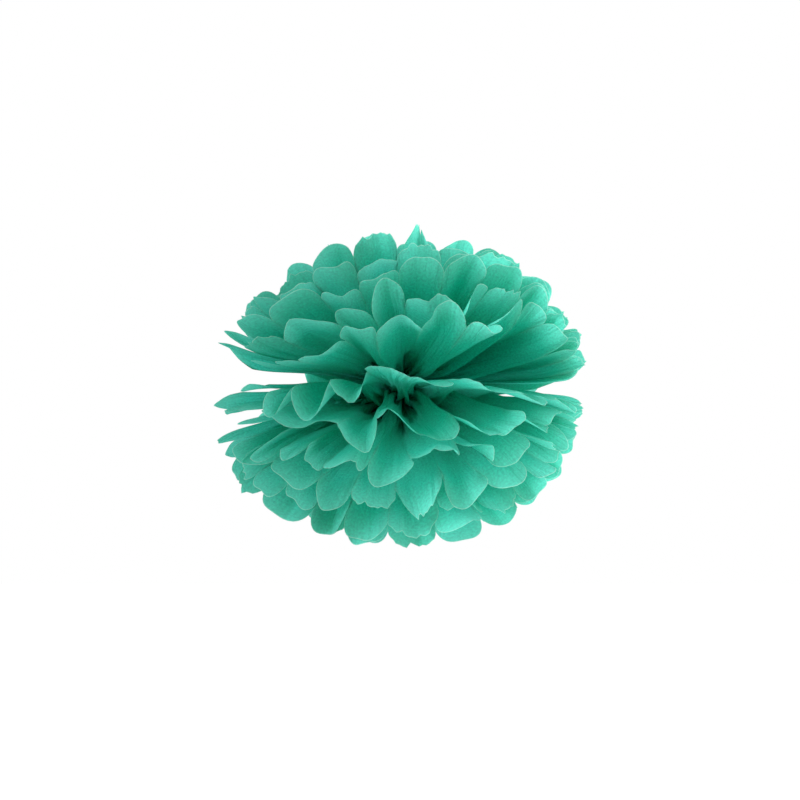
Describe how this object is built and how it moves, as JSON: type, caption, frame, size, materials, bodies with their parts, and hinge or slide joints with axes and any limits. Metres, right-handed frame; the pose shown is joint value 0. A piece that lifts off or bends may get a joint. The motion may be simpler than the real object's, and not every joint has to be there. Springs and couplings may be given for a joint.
{
  "type": "tissue paper pom pom",
  "caption": "Hanging party ball of pleated tissue paper: round-ended fans tied at the waist and opened into rows of petals.",
  "frame": {"origin": "middle of the wire tie, where every sheet is gathered, at the centre of the ball", "axes": "+Z along the folded strip, up through the upper fans; the crown of petals faces -Y; the outermost folds reach out along X"},
  "size_m": [0.2489, 0.2454, 0.2134],
  "materials": {
    "tissue_paper": "matt, translucent, dyed jade green",
    "florist_wire": "dark green paper-coated wire"
  },
  "bodies": {
    "root": {"sheet_01": "tissue_paper", "sheet_02": "tissue_paper", "sheet_03": "tissue_paper", "sheet_04": "tissue_paper", "sheet_05": "tissue_paper", "sheet_06": "tissue_paper", "sheet_07": "tissue_paper", "sheet_08": "tissue_paper", "sheet_09": "tissue_paper", "sheet_10": "tissue_paper", "waist_tie": "florist_wire"}
  },
  "joints": []
}
